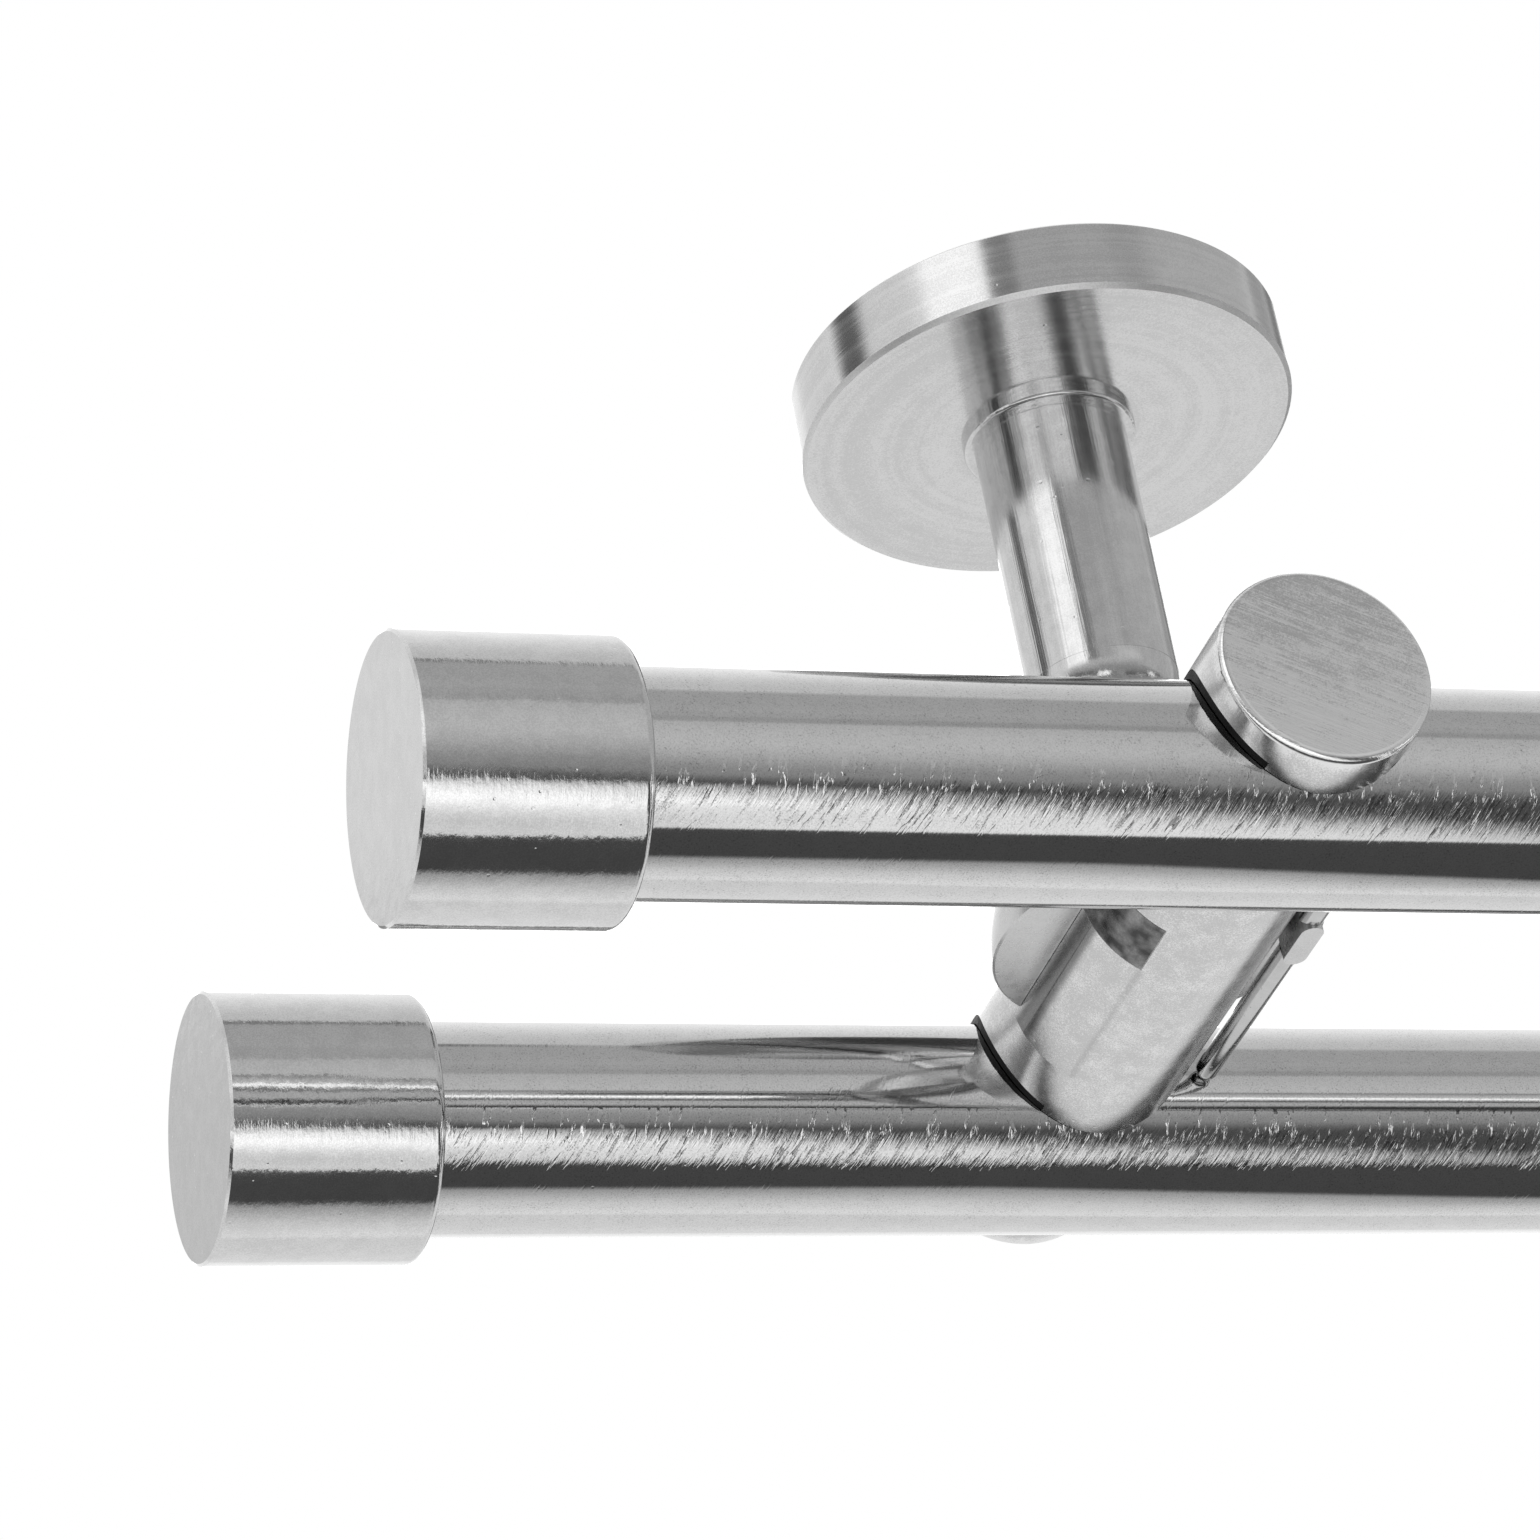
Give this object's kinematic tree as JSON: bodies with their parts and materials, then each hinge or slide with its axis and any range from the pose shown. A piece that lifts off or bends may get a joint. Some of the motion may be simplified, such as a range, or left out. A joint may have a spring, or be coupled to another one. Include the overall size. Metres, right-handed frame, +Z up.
{
  "type": "double curtain pole",
  "caption": "Twin round metal curtain poles side by side on ceiling brackets, each a round rose, a stem, a half-ball hub and a notched cross arm, with plain cylindrical end caps.",
  "frame": {"origin": "centre of the left bracket's mounting plate on the ceiling", "axes": "+X along the poles, +Y from the front pole to the back pole, +Z up to the ceiling"},
  "size_m": [1.0091, 0.0882, 0.08],
  "materials": {
    "pole_steel": "brushed, satin stainless steel",
    "cap_steel": "brushed round the cap, satin",
    "rose_steel": "turned, satin",
    "stem_steel": "polished along its length",
    "hub_steel": "satin",
    "arm_steel": "brushed, satin",
    "pin_steel": "polished",
    "screw_steel": "plain",
    "plate_steel": "zinc plated",
    "liner_nylon": "black, matte"
  },
  "bodies": {
    "root": {"front_pole": "pole_steel", "front_left_cap": "cap_steel", "front_left_cap_screw": "screw_steel", "front_right_cap": "cap_steel", "front_right_cap_screw": "screw_steel", "back_pole": "pole_steel", "back_left_cap": "cap_steel", "back_left_cap_screw": "screw_steel", "back_right_cap": "cap_steel", "back_right_cap_screw": "screw_steel", "left_rose": "rose_steel", "left_rose_screw": "screw_steel", "left_mounting_plate": "plate_steel", "left_stem": "stem_steel", "left_stem_screw": "screw_steel", "left_hub": "hub_steel", "left_cross_arm": "arm_steel", "left_front_liner": "liner_nylon", "left_back_liner": "liner_nylon", "left_front_lock_pin": "pin_steel", "left_back_lock_pin": "pin_steel", "right_rose": "rose_steel", "right_rose_screw": "screw_steel", "right_mounting_plate": "plate_steel", "right_stem": "stem_steel", "right_stem_screw": "screw_steel", "right_hub": "hub_steel", "right_cross_arm": "arm_steel", "right_front_liner": "liner_nylon", "right_back_liner": "liner_nylon", "right_front_lock_pin": "pin_steel", "right_back_lock_pin": "pin_steel"}
  },
  "joints": []
}
